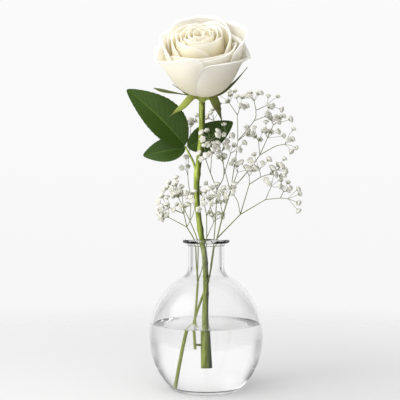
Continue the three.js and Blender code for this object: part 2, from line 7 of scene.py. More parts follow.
import bpy
import numpy as np
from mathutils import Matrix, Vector


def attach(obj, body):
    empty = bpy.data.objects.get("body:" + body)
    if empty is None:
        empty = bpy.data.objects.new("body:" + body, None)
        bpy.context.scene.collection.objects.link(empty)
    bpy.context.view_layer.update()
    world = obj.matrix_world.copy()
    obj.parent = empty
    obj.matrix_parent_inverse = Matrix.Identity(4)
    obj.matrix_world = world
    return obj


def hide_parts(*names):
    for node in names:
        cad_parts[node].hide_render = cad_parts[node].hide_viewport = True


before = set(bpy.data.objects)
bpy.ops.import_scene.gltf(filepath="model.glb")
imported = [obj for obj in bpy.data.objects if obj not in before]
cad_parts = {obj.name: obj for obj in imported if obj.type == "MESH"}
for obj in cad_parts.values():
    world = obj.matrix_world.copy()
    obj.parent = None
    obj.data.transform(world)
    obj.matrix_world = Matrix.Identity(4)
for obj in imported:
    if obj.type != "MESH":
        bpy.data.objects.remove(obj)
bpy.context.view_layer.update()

MM = 0.001                  # in metres
GOLDEN_ANGLE = 137.5        # in degrees

# ------------------------------------------------------------------ driving dimensions, in millimetres

VASE = dict(
    radius=50.5, centre=46.9, half_height=58,       # of the body, a half ellipse about a point on the axis
    wall=2.3, floor=4.5,                            # thickness of the glass
    edge=2.4,                                       # round of the foot's edge
    shoulder_outer=21.5, shoulder_inner=20,         # radii where the body starts to bend into the neck
    neck_outer=16.2, neck_inner=12.3,
    lip_radius=21.1, lip=3.1,                       # the flared lip and its thickness
    lip_under=3.3, mouth=4,                         # rounds below the lip and inside the mouth
    top=132.6,
)
PONTIL = [[0, 1], [1.2, 0.9], [2.2, 0.4], [3, 0]]   # hollow under the foot, from its middle out
VASE_SIDES = 144            # of the vase's and the water's meshes
WATER_LEVEL = 57.4          # of the still surface
MENISCUS = 1.2              # how far the water climbs at the glass
MENISCUS_REACH = 2.7        # the climb falls off by a factor of e over this length
WATER_SKIN = 0.04           # between the water's mesh and the glass
WATER_FOOT_RING = 15        # radius of a ring of points on the water's flat underside
# how far in from the glass the water's open surface has a ring of points
WATER_RINGS = [0.15, 0.4, 0.8, 1.3, 2, 3, 4.5, 6.5, 9, 12, 20, 30]

ROSE_STEM = [[0.3, 4, 24], [-0.8, 2.6, 63], [-0.2, -1, 90], [-1.2, -4.9, 117], [-4.6, -8.5, 138],
             [-7.2, -11, 157], [-8.5, -13, 174], [-8, -14.6, 190], [-5.7, -15.2, 208], [-4, -15, 228],
             [-3.8, -16, 246], [-3.8, -18.9, 252.8]]
ROSE_STEM_RADII = [3.7, 3, 2.45, 2.35, 2.45, 2.6, 2.7, 2.8]     # spread evenly from the cut end to the bloom
STUB = [[0, 4, 41], [-4, 3.2, 40.2], [-7.4, 2.2, 40.6]]      # of a leaf that was cut off
STUB_RADIUS = 0.8
STEM_KNOTS = [[-8, -14.6, 190.5], [-5.2, -9, 142]]      # where a leaf grows on the stem, or grew
KNOT_RADIUS = 3.3
KNOT_SWELL = 0.22           # share of the stem's radius that a knot adds
KNOT_LENGTH = 3.2
STEM_SCARS = [[1.3, -5.6, 112], [1.9, -4, 99.5], [1.7, -2, 84]]     # of stipules and thorns that came off
SCAR_RIDGE = 0.35           # how far a scar stands out
SCAR_LENGTH = 1.5
SCAR_SPOT = 1.8             # radius of its brown spot
PETIOLE = [[-8, -14.6, 190.5], [-12.2, -11, 203], [-17.5, -6.7, 213], [-18.5, -6.85, 215.7]]
PETIOLE_RADIUS = 0.95
PETIOLE_ROOM = 1            # radius that florets keep clear of

CALYX_BASE = [-3.8, -26.75, 262.2]
BLOOM_BASE = [-2.6, -26.75, 262.2]
BLOOM_LEAN = 40             # towards the front, in degrees
BLOOM_SIDE_LEAN = -4        # towards the left
PETAL_THICKNESS = 0.7
INNER_PETALS = 13
HEART = dict(rim=4, height=56.5, turn=125, width=125, roll=15)      # the first of the inner petals
CUP = dict(rim=20.5, height=53, turn=110, width=100, roll=45)       # the last of them
# azimuth (0 right, 90 back, -90 front), rim radius, height, turn, half width, roll of the margin, flare, sag
# and tilt, with the angles in degrees
OUTER_PETALS = [
    [150, 24, 51.5, 106, 90, 50, 0, 0, 0],
    [30, 25, 52, 106, 90, 50, 0, 0, 0],
    [-92, 27, 46, 102, 92, 75, 0, 0, 0],
    [92, 29.5, 53, 100, 84, 70, 1, 0, 0],
    [158, 30, 47, 96, 66, 90, 3, 0, 0],
    [-50, 28.5, 45, 98, 84, 80, 1, 0, 0],
    [12, 34, 49, 94, 62, 90, 6, 0, 0],
    [-18, 31, 41.5, 106, 86, 120, 8.5, 7, 0],
    [205, 32, 45, 90, 75, 120, 8, 5, 7],
]

RECEPTACLE = [[2.4, -11], [4.4, -8], [4.9, -4], [4.2, -0.3]]       # radius and height in the bloom's frame
# path, greatest half width, the way that the blade's face looks, how dry it is at its base, and whether it is
# widest near its tip. For the sepal that hangs on the right the dry share is painted shade.
SEPALS = [
    ([[-5, -22.5, 257], [-11.9, -29, 257.4], [-20.1, -33, 248.6], [-26.1, -34.5, 243.6], [-31.4, -35, 238.9]],
     3.1, (-0.3, -1, 0.3), 0, False),
    ([[-2.5, -22.5, 257], [4.8, -29, 257.7], [8.7, -33, 249.4], [11.2, -34, 242], [14.7, -34, 230.3]],
     3.9, (0.3, -1, 0.2), 0.42, False),
    ([[-6, -21.5, 257.6], [-17, -22.5, 259], [-31, -22, 261.8], [-46, -20, 265.4]],
     2.6, (0, -0.6, 1), 0.6, True),
    ([[-2, -21.5, 257.6], [12, -21, 260.5], [24, -17.5, 270], [36, -16.5, 284]],
     1.6, (0.6, -0.9, -0.4), 0.7, False),
    ([[-5, -20.2, 257.4], [-13, -14.5, 259], [-21, -9.5, 264.5], [-30, -9.5, 270]],
     1.8, (0, -0.3, 1), 0.5, False),
]
SEPAL_THICKNESS = 0.7

LEAFLET_THICKNESS = 0.5
LEAF_TEETH = 16             # on each side of a leaflet
TOOTH_DEPTH = 0.03          # as a share of the half width
LEAF_VEINS = 11             # branching to each side
VEIN_SLANT = 0.28           # share of the leaflet's length that a vein runs forward by on its way to the edge
# base, tip, half width, roll and fold in degrees, arch
LEAFLETS = {
    "leaflet_end": ([-18.9, -6.9, 216.1], [-69.8, -12, 264.9], 20, 24, 20, 5),
    "leaflet_left": ([-18.6, -5.6, 213.4], [-56.2, 0, 207.7], 12, 16, 16, 2),
    "leaflet_right": ([-16.6, -6.1, 214.8], [23.9, 3, 237.7], 13, 12, 14, 4),
}

FLORET_RADIUS = 2.25        # and the twig's below: the room that each takes up in the CAD
TWIG = 0.34
FLORET_SIZES = (1.05, 1.4)  # smallest and largest, as shares of the template
THREAD_RADIUS = 0.2         # of the thread that carries a floret
THREAD_BEND = 0.8           # how far the middle of a thread is out of line, at most, each way
THREAD_END = 1.6            # how far below a floret's middle its thread ends
SPRIG = dict(reach=12, narrow=27, wide=60)      # length of its threads, and their least and greatest spread
CLEARANCE = 0.6             # between a floret and another piece
MORE_FLORETS = 3            # that each sprig has besides those of the CAD
# Each spray: its seed, its stem's radius and path, and its branches' radius, florets in the CAD and path.
RIGHT_SPRAY = (1, (1.15, [[-19.5, 8, 6], [-17.4, 8, 22], [-14.6, 7, 40], [-11.8, 5.8, 54],
                          [-9.2, 4.9, 64.5], [-4.6, 5.2, 77.6], [1.2, 4.9, 93], [3.1, 3.6, 100]]), [
    (0.7, 0, [[3.1, 3.6, 100], [4.6, 0.5, 113], [6.4, -1.2, 126], [8.3, -3, 150.6], [9.5, -6, 177.2]]),
    (0.53, 3, [[9.5, -6, 177.2], [3.7, -12, 191.6], [-0.5, -23, 203]]),
    (0.47, 3, [[3.7, -12, 191.6], [4.9, -20, 209.6]]),
    (0.43, 2, [[4.9, -20, 209.6], [3, -25, 219]]),
    (0.5, 3, [[9.5, -6, 177.2], [15.6, -4, 189.6], [13.9, -11, 211]]),
    (0.47, 3, [[15.6, -4, 189.6], [21.5, -9, 209]]),
    (0.43, 2, [[13.9, -11, 211], [17.2, -17, 221]]),
    (0.78, 0, [[3.1, 3.6, 100], [5.6, 4, 113], [7.5, 4.2, 126], [9.8, 5, 133.5], [15.1, 6, 154],
               [21.9, 6, 175.7]]),
    (0.55, 0, [[21.9, 6, 175.7], [39, 8, 195.4], [48.5, 9, 208.5]]),
    (0.45, 2, [[48.5, 9, 208.5], [62.1, 6, 216.1], [70.5, 3, 217.9]]),
    (0.47, 3, [[48.5, 9, 208.5], [55.9, 14, 224.4]]),
    (0.45, 2, [[48.5, 9, 208.5], [47.9, 17, 222]]),
    (0.43, 3, [[55.9, 14, 224.4], [61, 12, 236]]),
    (0.55, 0, [[21.9, 6, 175.7], [27.1, 12, 207.7], [29, 16, 221.9]]),
    (0.47, 0, [[29, 16, 221.9], [28.8, 20, 245.8]]),
    (0.43, 3, [[28.8, 20, 245.8], [21.5, 23, 257]]),
    (0.43, 2, [[28.8, 20, 245.8], [30.5, 19, 251]]),
    (0.47, 0, [[29, 16, 221.9], [43.6, 12, 239.8], [45.2, 10, 249.1]]),
    (0.43, 3, [[45.2, 10, 249.1], [43.5, 9, 257]]),
    (0.43, 2, [[45.2, 10, 249.1], [54, 9, 253]]),
    (0.43, 2, [[43.6, 12, 239.8], [52.5, 8, 243]]),
    (0.43, 2, [[29, 16, 221.9], [35.5, 15, 227]]),
    (0.47, 3, [[21.9, 6, 175.7], [28.5, 8, 193]]),
    (0.47, 2, [[21.9, 6, 175.7], [15, 14, 202.6]]),
    (0.43, 2, [[15, 14, 202.6], [10, 19, 232], [7, 20, 241]]),
    (0.65, 0, [[9.8, 5, 133.5], [30.5, 0, 155]]),
    (0.53, 0, [[30.5, 0, 155], [34.5, -3, 169], [38.2, -6, 181.8]]),
    (0.47, 3, [[38.2, -6, 181.8], [48.2, -8, 188.1], [55.8, -8, 190.6]]),
    (0.43, 3, [[55.8, -8, 190.6], [63, -9, 194.5]]),
    (0.43, 2, [[48.2, -8, 188.1], [47, -10, 195]]),
    (0.43, 2, [[38.2, -6, 181.8], [38, -8, 189]]),
    (0.53, 0, [[30.5, 0, 155], [52.9, -2, 168.3]]),
    (0.43, 2, [[52.9, -2, 168.3], [57.3, -10, 180]]),
    (0.45, 2, [[52.9, -2, 168.3], [66.1, -2, 169.5], [73, -1, 169]]),
    (0.43, 2, [[66.1, -2, 169.5], [68.5, -3, 175]]),
    (0.45, 3, [[30.5, 0, 155], [28, -6, 166], [24.5, -10, 172]]),
    (0.43, 3, [[15.1, 6, 154], [13, -2, 163], [11, -8, 171]]),
    (0.43, 3, [[8.3, -3, 150.6], [5, -10, 158], [2.5, -17, 165]]),
])
LEFT_SPRAY = (2, (1.0, [[-7.5, -3, 38], [-8.3, -4, 50], [-9.8, -4.4, 62], [-8.5, -2.8, 78.6],
                        [-7.5, -1.4, 93.3]]), [
    (0.68, 0, [[-7.5, -1.4, 93.3], [-8.7, -2, 112.5], [-9.3, -1.6, 126], [-10.9, -2.2, 133],
               [-17.2, -6, 144]]),
    (0.45, 3, [[-17.2, -6, 144], [-33, -10, 152.5]]),
    (0.53, 2, [[-17.2, -6, 144], [-19.7, -8, 155.8]]),
    (0.45, 3, [[-19.7, -8, 155.8], [-32, -11, 161]]),
    (0.47, 2, [[-19.7, -8, 155.8], [-21.1, -12, 171]]),
    (0.43, 3, [[-21.1, -12, 171], [-26, -14, 177]]),
    (0.45, 3, [[-17.2, -6, 144], [-12.5, -14, 153], [-10, -20.5, 161]]),
    (0.62, 0, [[-7.5, -1.4, 93.3], [-7.6, 1.8, 112], [-7.4, 3.4, 126], [-8.4, 4, 134], [-14.5, 7, 149]]),
    (0.45, 3, [[-14.5, 7, 149], [-25, 12, 170]]),
    (0.47, 3, [[-14.5, 7, 149], [-13.5, 9, 167]]),
    (0.43, 2, [[-13.5, 9, 167], [-16.5, 13, 190], [-15, 17, 218], [-14, 18, 234]]),
    (0.39, 2, [[-16.5, 13, 190], [-18, 9, 195]]),
    (0.62, 0, [[-7.5, -1.4, 93.3], [-4.6, 3.8, 104], [-1, 4.4, 118], [0.4, 3, 134], [0.5, 1.5, 153.6]]),
    (0.45, 2, [[0.5, 1.5, 153.6], [-3, 2, 171]]),
    (0.45, 3, [[0.5, 1.5, 153.6], [5, 5, 164]]),
    (0.45, 2, [[0.4, 3, 134], [7, 10, 148]]),
])


# ------------------------------------------------------------------ curves and surfaces

def unit(vectors):
    """Vectors along the last axis, each divided by its length."""
    return vectors / np.maximum(np.linalg.norm(vectors, axis=-1, keepdims=True), 1e-12)


def smooth(path, count):
    """`count` points of the curve through `path`: between two points a cubic whose slope at each is half the
    way from the point before to the point after, with one more point added past either end."""
    p = np.array(path, float)
    p = np.vstack([2 * p[0] - p[1], p, 2 * p[-1] - p[-2]])
    place = np.linspace(0, len(path) - 1, count)
    i = np.minimum(place.astype(int), len(path) - 2)
    t = (place - i)[:, None]
    before, start, end, after = p[i], p[i + 1], p[i + 2], p[i + 3]
    slope_in, slope_out = (end - before) / 2, (after - start) / 2
    return (start + slope_in * t + (3 * (end - start) - 2 * slope_in - slope_out) * t ** 2
            + (2 * (start - end) + slope_in + slope_out) * t ** 3)


def grid_faces(rows, columns, closed=False):
    """Quads of a grid of points numbered row by row, joined round each row when `closed`."""
    steps = columns if closed else columns - 1
    row, column = np.meshgrid(np.arange(rows - 1), np.arange(steps), indexing="ij")
    corner = row * columns + column
    right = row * columns + (column + 1) % columns
    return np.stack([corner, right, right + columns, corner + columns], -1).reshape(-1, 4)


def blade(surface, thickness, edge=0.35):
    """A closed leaf-like solid from a grid of middle points: each moves along the grid's normal by half the
    thickness, forth for one face and back for the other. The thickness falls to the share `edge` at the rim,
    as a power of the place across and along, and the rims are joined."""
    rows, columns = surface.shape[:2]
    normal = unit(np.cross(np.gradient(surface, axis=1), np.gradient(surface, axis=0)))
    across = np.abs(np.linspace(-1, 1, columns))[None, :]
    along = np.linspace(0, 1, rows)[:, None]
    rim = np.maximum(across ** 6, along ** 8)
    half = thickness / 2 * (1 - (1 - edge) * rim)[..., None]
    front = (surface + half * normal).reshape(-1, 3)
    back = (surface - half * normal).reshape(-1, 3)
    numbers = np.arange(rows * columns).reshape(rows, columns)
    border = np.concatenate([numbers[0, :-1], numbers[:-1, -1], numbers[-1, :0:-1], numbers[:0:-1, 0]])
    following = np.roll(border, -1)
    total = rows * columns
    faces = grid_faces(rows, columns)
    rims = np.stack([following, border, border + total, following + total], -1)
    return np.vstack([front, back]), [faces, faces[:, ::-1] + total, rims]


def capped(rings, first, last):
    """A closed solid from rings of points, joined in quads, and a point at each end, joined in triangles."""
    rows, sides = rings.shape[:2]
    count = rows * sides
    one = np.arange(sides)
    two = (one + 1) % sides
    first_cap = np.stack([two, one, np.full(sides, count)], -1)
    last_cap = np.stack([one + count - sides, two + count - sides, np.full(sides, count + 1)], -1)
    vertices = np.vstack([rings.reshape(-1, 3), first, last])
    return vertices, [grid_faces(rows, sides, True), first_cap, last_cap]


def tube(points, radius, sides=12):
    """A closed round stalk: rings of `sides` points about each point of the path, across its direction."""
    ahead = unit(np.gradient(points, axis=0))
    reference = np.eye(3)[np.argmin(np.abs(ahead).max(axis=0))]
    side = unit(np.cross(ahead, reference))
    up = np.cross(side, ahead)
    turn = 2 * np.pi * np.arange(sides) / sides
    radius = np.broadcast_to(radius, len(points))[:, None, None]
    rings = points[:, None] + radius * (np.cos(turn)[None, :, None] * side[:, None]
                                        + np.sin(turn)[None, :, None] * up[:, None])
    vertices, faces = capped(rings, points[0], points[-1])
    return vertices, [each[:, ::-1] for each in faces]


def revolve(profile, sides):
    """A closed turned solid: the profile, from axis to axis, carried round Z."""
    profile = np.asarray(profile, float)
    turn = 2 * np.pi * np.arange(sides) / sides
    radius, height = profile[1:-1, :1], profile[1:-1, 1:]
    rings = np.stack([radius * np.cos(turn), radius * np.sin(turn), np.repeat(height, sides, axis=1)], -1)
    return capped(rings, [0, 0, profile[0, 1]], [0, 0, profile[-1, 1]])


def joined(parts):
    """Several (vertices, faces) as one, with the faces renumbered."""
    vertices, faces, offset = [], [], 0
    for points, lists in parts:
        vertices.append(points)
        faces += [each + offset for each in lists]
        offset += len(points)
    return np.vstack(vertices), faces


def make(name, solid, node, materials, shades=None, material_of=None):
    """A mesh object from (vertices, faces) in millimetres, riding on the body of the CAD node it replaces.
    `shades` has one value a vertex for each attribute that the materials read, `material_of` one a face."""
    vertices, faces = solid
    mesh = bpy.data.meshes.new(name)
    mesh.from_pydata((vertices * MM).tolist(), [], [face for each in faces for face in each.tolist()])
    mesh.polygons.foreach_set("use_smooth", np.ones(len(mesh.polygons), bool))
    for key, values in (shades or {}).items():
        attribute = mesh.attributes.new(key, "FLOAT", "POINT")
        attribute.data.foreach_set("value", np.ravel(values).astype(np.float32))
    for each in materials:
        mesh.materials.append(each)
    if material_of is not None:
        mesh.polygons.foreach_set("material_index", material_of.astype(np.int32))
    mesh.update()
    piece = bpy.data.objects.new(name, mesh)
    bpy.context.scene.collection.objects.link(piece)
    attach(piece, "root")
    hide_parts(node)


# ------------------------------------------------------------------ material tools

def linear(shade):
    """An sRGB hex colour as linear red, green, blue and alpha."""
    srgb = [int(shade[i:i + 2], 16) / 255 for i in (1, 3, 5)]
    return tuple(c / 12.92 if c <= 0.04045 else ((c + 0.055) / 1.055) ** 2.4 for c in srgb) + (1.0,)


def add(tree, kind, inputs=None, **settings):
    """Adds a node. `settings` are its own properties, and `inputs` gives each socket a value or a link."""
    node = tree.nodes.new(kind)
    for key, value in settings.items():
        setattr(node, key, value)
    for key, value in (inputs or {}).items():
        if isinstance(value, bpy.types.NodeSocket):
            tree.links.new(value, node.inputs[key])
        else:
            node.inputs[key].default_value = value
    return node


def material(name, surface):
    """A material whose surface is the shader socket that surface(tree) returns."""
    made = bpy.data.materials.new(name)
    made.use_nodes = True
    made.node_tree.nodes.clear()
    add(made.node_tree, "ShaderNodeOutputMaterial", {"Surface": surface(made.node_tree)})
    return made


# ------------------------------------------------------------------ materials

def grain(size):
    """The scale of a noise whose spots are `size` millimetres wide."""
    return 1 / (size * MM)


GLASS_IOR = 1.5
WATER_IOR = 1.333
GLASS_SHADOW = 0.95         # share of light that a shadow ray keeps at each face of glass or water


def clear(ior):
    """A colourless face that set or settled by itself, so it is mirror smooth: it bends what is behind it by
    `ior` and shows bright and dark edges. Light for shadows goes straight through, a little dimmed."""
    def surface(tree):
        glass = add(tree, "ShaderNodeBsdfGlass", {"Color": linear("#ffffff"), "Roughness": 0.0, "IOR": ior})
        straight = add(tree, "ShaderNodeBsdfTransparent", {"Color": (GLASS_SHADOW,) * 3 + (1,)})
        path = add(tree, "ShaderNodeLightPath")
        return add(tree, "ShaderNodeMixShader", {
            0: path.outputs["Is Shadow Ray"], 1: glass.outputs[0], 2: straight.outputs[0]}).outputs[0]
    return surface


def wetted(tree):
    """Glass with water on it: the water's own face does the bending, so this one is passed through."""
    return add(tree, "ShaderNodeBsdfTransparent").outputs[0]


def petal_surface(tree):
    """Rose petal: living tissue full of air under a skin of tiny cones. It scatters nearly all light, so it
    looks velvety and white, and lets half of that through. The creamy yellow that light takes between many
    layers
    is painted in as shade: deep in the cup, towards the petals' feet, and on faces that look in. The
    outermost petals are also painted a little creamier towards their foot, as shade under the bloom. `ring`
    grows from the heart to the outermost petal, and `along` from a petal's foot to its margin."""
    ring = add(tree, "ShaderNodeAttribute", attribute_name="ring").outputs["Fac"]
    along = add(tree, "ShaderNodeAttribute", attribute_name="along").outputs["Fac"]
    # Painted shade: cream-yellow deep in the cup's petals and on faces that look in, where the folds shade
    # each other.
    depth = add(tree, "ShaderNodeMapRange", {"Value": along, "From Min": 0.84, "From Max": 0.45}).outputs[0]
    inside = add(tree, "ShaderNodeMapRange", {"Value": ring, "From Min": 0.92, "From Max": 0.6}).outputs[0]
    folded = add(tree, "ShaderNodeMath", {0: depth, 1: inside}, operation="MULTIPLY").outputs[0]
    cream = add(tree, "ShaderNodeMixRGB", {
        "Fac": folded, "Color1": linear("#fffefb"), "Color2": linear("#fff3bf")}).outputs[0]
    # Painted shade: the outermost petals are a little creamier towards their foot, under the bloom.
    low = add(tree, "ShaderNodeMapRange", {"Value": along, "From Min": 0.95, "From Max": 0.3}).outputs[0]
    outermost = add(tree, "ShaderNodeMapRange", {
        "Value": ring, "From Min": 0.8, "From Max": 0.92}).outputs[0]
    foot = add(tree, "ShaderNodeMath", {0: low, 1: outermost}, operation="MULTIPLY").outputs[0]
    painted_shade_tint = add(tree, "ShaderNodeMixRGB", {
        "Fac": foot, "Color1": cream, "Color2": linear("#fefcf1")}).outputs[0]
    # The skin's own cones, 0.03 mm wide, are too fine to show: coarser swellings stand for them.
    vein = add(tree, "ShaderNodeTexNoise", {"Scale": grain(10 / 9), "Detail": 3.0}).outputs[0]
    bump = add(tree, "ShaderNodeBump", {"Height": vein, "Strength": 0.06, "Distance": 0.4 * MM}).outputs[0]
    velvet = add(tree, "ShaderNodeBsdfPrincipled", {
        "Base Color": painted_shade_tint, "Roughness": 0.65, "IOR": 1.4, "Specular IOR Level": 0.25, "Sheen Weight": 0.1,
        "Normal": bump}).outputs[0]
    through = add(tree, "ShaderNodeBsdfTranslucent", {"Color": painted_shade_tint}).outputs[0]
    return add(tree, "ShaderNodeMixShader", {0: 0.5, 1: velvet, 2: through}).outputs[0]


# Painted shade: the side of the stem that looks this way, away from the light on the left, is painted dark
# olive.
SHADED_SIDE = (0.85, 0.5, 0)        # the way that the olive side of the stem looks


def stem_surface(tree):
    """Rose stalk: smooth waxy green skin over pith, with long streaks that are yellower where it is thin, and
    corky brown scars. Its side away from the light is painted dark olive as shade."""
    axes = add(tree, "ShaderNodeTexCoord")
    # Streaks are eight times as long as wide, and wider than the real ones, which are too fine to show.
    lengthwise = add(tree, "ShaderNodeMapping", {
        "Vector": axes.outputs["Object"], "Scale": (1, 1, 0.12)}).outputs[0]
    streaks = add(tree, "ShaderNodeTexNoise", {
        "Vector": lengthwise, "Scale": grain(10 / 4.2), "Detail": 4.0}).outputs[0]
    thin = add(tree, "ShaderNodeMapRange", {"Value": streaks, "From Min": 0.35, "From Max": 0.65}).outputs[0]
    green = add(tree, "ShaderNodeMixRGB", {
        "Fac": thin, "Color1": linear("#687a1e"), "Color2": linear("#b9c763")}).outputs[0]
    olive = add(tree, "ShaderNodeMixRGB", {
        "Fac": thin, "Color1": linear("#2c3a0c"), "Color2": linear("#566418")}).outputs[0]
    # Painted shade: normals that look away from the light, to the right, mix the streaky green towards dark
    # olive.
    side = add(tree, "ShaderNodeVectorMath", {
        0: axes.outputs["Normal"], 1: SHADED_SIDE}, operation="DOT_PRODUCT").outputs["Value"]
    shade_share = add(tree, "ShaderNodeMapRange", {"Value": side, "From Min": -0.85, "From Max": 0.15}).outputs[0]
    skin = add(tree, "ShaderNodeMixRGB", {"Fac": shade_share, "Color1": green, "Color2": olive}).outputs[0]
    scar = add(tree, "ShaderNodeAttribute", attribute_name="scar").outputs["Fac"]
    scarred = add(tree, "ShaderNodeMixRGB", {
        "Fac": scar, "Color1": skin, "Color2": linear("#2c2a10")}).outputs[0]
    return add(tree, "ShaderNodeBsdfPrincipled", {
        "Base Color": scarred, "Roughness": 0.5, "IOR": 1.45, "Specular IOR Level": 0.3}).outputs[0]


def sepal_surface(tree):
    """Rose sepal: thin soft leaf, pale and woolly at its base and brown at its thread-like end. On the sepal
    that hangs on the right the brown comes on sooner, as painted shade.
    """
    along = add(tree, "ShaderNodeAttribute", attribute_name="along").outputs["Fac"]
    end = add(tree, "ShaderNodeMapRange", {"Value": along, "From Min": 0.55, "From Max": 1.0}).outputs[0]
    green = add(tree, "ShaderNodeMixRGB", {
        "Fac": end, "Color1": linear("#99a44a"), "Color2": linear("#50551f")}).outputs[0]
    return add(tree, "ShaderNodeBsdfPrincipled", {
        "Base Color": green, "Roughness": 0.6, "Subsurface Weight": 0.2,
        "Subsurface Scale": 1 * MM}).outputs[0]


def leaf_surface(tree):
    """Rose leaf: deep green blade with a wax skin that gives a soft gloss, and paler sunk veins."""
    vein = add(tree, "ShaderNodeAttribute", attribute_name="vein").outputs["Fac"]
    patches = add(tree, "ShaderNodeTexNoise", {"Scale": grain(100 / 9), "Detail": 5.0}).outputs[0]
    green = add(tree, "ShaderNodeMixRGB", {
        "Fac": patches, "Color1": linear("#2a400a"), "Color2": linear("#3a5614")}).outputs[0]
    veined = add(tree, "ShaderNodeMixRGB", {
        "Fac": vein, "Color1": green, "Color2": linear("#54712a")}).outputs[0]
    sunk = add(tree, "ShaderNodeBump", {
        "Height": vein, "Strength": 0.5, "Distance": 0.4 * MM}, invert=True).outputs[0]
    return add(tree, "ShaderNodeBsdfPrincipled", {
        "Base Color": veined, "Roughness": 0.5, "IOR": 1.45, "Specular IOR Level": 0.35,
        "Normal": sunk}).outputs[0]


def spray_surface(tree):
    """Baby's breath: twigs that are fresh green below and dry grey-green above, and papery off-white florets
    with a green cup. `bloom` grows from the twigs to the petals' edges."""
    bloom = add(tree, "ShaderNodeAttribute", attribute_name="bloom").outputs["Fac"]
    place = add(tree, "ShaderNodeTexCoord").outputs["Object"]
    height = add(tree, "ShaderNodeSeparateXYZ", {0: place}).outputs["Z"]
    dry = add(tree, "ShaderNodeMapRange", {
        "Value": height, "From Min": 90 * MM, "From Max": 190 * MM}).outputs[0]
    twig = add(tree, "ShaderNodeMixRGB", {
        "Fac": dry, "Color1": linear("#93a04a"), "Color2": linear("#878b6e")}).outputs[0]
    paper = add(tree, "ShaderNodeMixRGB", {
        "Fac": bloom, "Color1": twig, "Color2": linear("#e6e4da")}).outputs[0]
    return add(tree, "ShaderNodeBsdfPrincipled", {"Base Color": paper, "Roughness": 0.7}).outputs[0]


# Soda-lime glass, blown and fire-polished, and still water: both show by their edges and by what they bend.
# Where the water meets the glass one face is enough, the water's, which bends light by the ratio of the two.
blown_glass = material("blown clear glass", clear(GLASS_IOR))
wet_glass = material("blown clear glass, wetted face", wetted)
water_surface = material("still water, open surface", clear(WATER_IOR))
water_on_glass = material("still water, face against glass", clear(WATER_IOR / GLASS_IOR))
rose_petal = material("white rose petal", petal_surface)
rose_stalk = material("waxy rose stalk", stem_surface)
rose_sepal = material("soft rose sepal", sepal_surface)
rose_leaf = material("waxy rose leaf", leaf_surface)
babys_breath = material("papery baby's breath", spray_surface)


# ------------------------------------------------------------------ vase and water

def arc(centre, across, up, first, last, steps):
    """Points of a round stretch of a profile, from the first to the last angle in degrees."""
    angle = np.radians(np.linspace(first, last, steps + 1))
    return np.stack([centre[0] + across * np.cos(angle), centre[1] + up * np.sin(angle)], -1)


def body(inset, low, high, steps):
    """The vase's body: a half ellipse, set in from the outside by `inset`, between two heights."""
    across, up = VASE["radius"] - inset, VASE["half_height"] - inset
    first, last = (math.degrees(math.asin((z - VASE["centre"]) / up)) for z in (low, high))
    return arc((0, VASE["centre"]), across, up, first, last, steps)


def shoulder(inset, neck, start, steps=14):
    """The smooth bend from the body, where its radius is `start`, into the upright neck: a quadratic curve
    whose middle point is where the body's tangent meets the neck's wall."""
    across, up = VASE["radius"] - inset, VASE["half_height"] - inset
    cosine = start / across
    sine = math.sqrt(1 - cosine ** 2)
    foot = np.array([start, VASE["centre"] + up * sine])
    knee = np.array([neck, VASE["centre"] + up * (1 - neck * cosine / across) / sine])
    head = knee + [0, np.linalg.norm(foot - knee)]
    t = np.linspace(0, 1, steps + 1)[:, None]
    return (1 - t) ** 2 * foot + 2 * t * (1 - t) * knee + t ** 2 * head


def two_faced(profile, start):
    """The profile carried round Z, and which of two materials each face has: the second one from the band
    `start` to the end. Between the two ends on the axis, which make caps, each two points make a band."""
    bands = np.arange(len(profile) - 3) >= start
    caps = np.repeat([0, 1], VASE_SIDES)
    return revolve(profile, VASE_SIDES), np.concatenate([np.repeat(bands, VASE_SIDES), caps])


def make_vase():
    """The vase: its outside, from the hollow under the foot up to the lip, and its inside from the mouth down
    to the floor, carried round Z as one profile. Its last part, which the water covers, has its own face."""
    v = VASE
    edge = v["lip"] / 2
    contact = WATER_LEVEL + MENISCUS
    outer_bend = shoulder(0, v["neck_outer"], v["shoulder_outer"])
    inner_bend = shoulder(v["wall"], v["neck_inner"], v["shoulder_inner"])
    lower = body(0, v["edge"], outer_bend[0, 1], 90)
    foot = lower[0, 0] - v["edge"]
    outside = np.vstack([
        [*PONTIL, [foot / 2, 0], [foot, 0]],
        arc((foot, v["edge"]), v["edge"], v["edge"], -60, 0, 3),
        lower[1:],
        outer_bend[1:],
        arc((v["neck_outer"] + v["lip_under"], v["top"] - v["lip"] - v["lip_under"]),
            v["lip_under"], v["lip_under"], 180, 90, 10),
        arc((v["lip_radius"] - edge, v["top"] - edge), edge, edge, -90, 90, 10),
    ])
    wetted_wall = np.vstack([
        [[0, v["floor"]], [foot / 2, v["floor"]]],
        body(v["wall"], v["floor"], contact, 60),
    ])
    dry_wall = np.vstack([
        body(v["wall"], contact, inner_bend[0, 1], 36)[1:],
        inner_bend[1:],
        arc((v["neck_inner"] + v["mouth"], v["top"] - v["mouth"]), v["mouth"], v["mouth"], 180, 90, 10),
    ])
    profile = np.vstack([outside, dry_wall[::-1], wetted_wall[::-1]])
    solid, is_wet = two_faced(profile, len(outside) + len(dry_wall) - 1)
    make("glass_vase", solid, "vase", [blown_glass, wet_glass], material_of=is_wet)


def make_water():
    """The water: the inside of the vase, set in by the skin, and the open surface, whose height falls off
    exponentially from the meniscus at the glass, carried round Z as one profile."""
    low = VASE["floor"] + WATER_SKIN
    side = np.vstack([
        [[0, low], [WATER_FOOT_RING, low]],
        body(VASE["wall"] + WATER_SKIN, low, WATER_LEVEL + MENISCUS, 60),
    ])
    inward = np.array(WATER_RINGS)
    height = WATER_LEVEL + MENISCUS * np.exp(-inward / MENISCUS_REACH)
    top = np.stack([side[-1, 0] - inward, height], -1)
    profile = np.vstack([side, top, [[0, WATER_LEVEL]]])
    solid, is_open = two_faced(profile, len(side) - 2)
    make("clear_water", solid, "water", [water_on_glass, water_surface], material_of=is_open)


# ------------------------------------------------------------------ rose

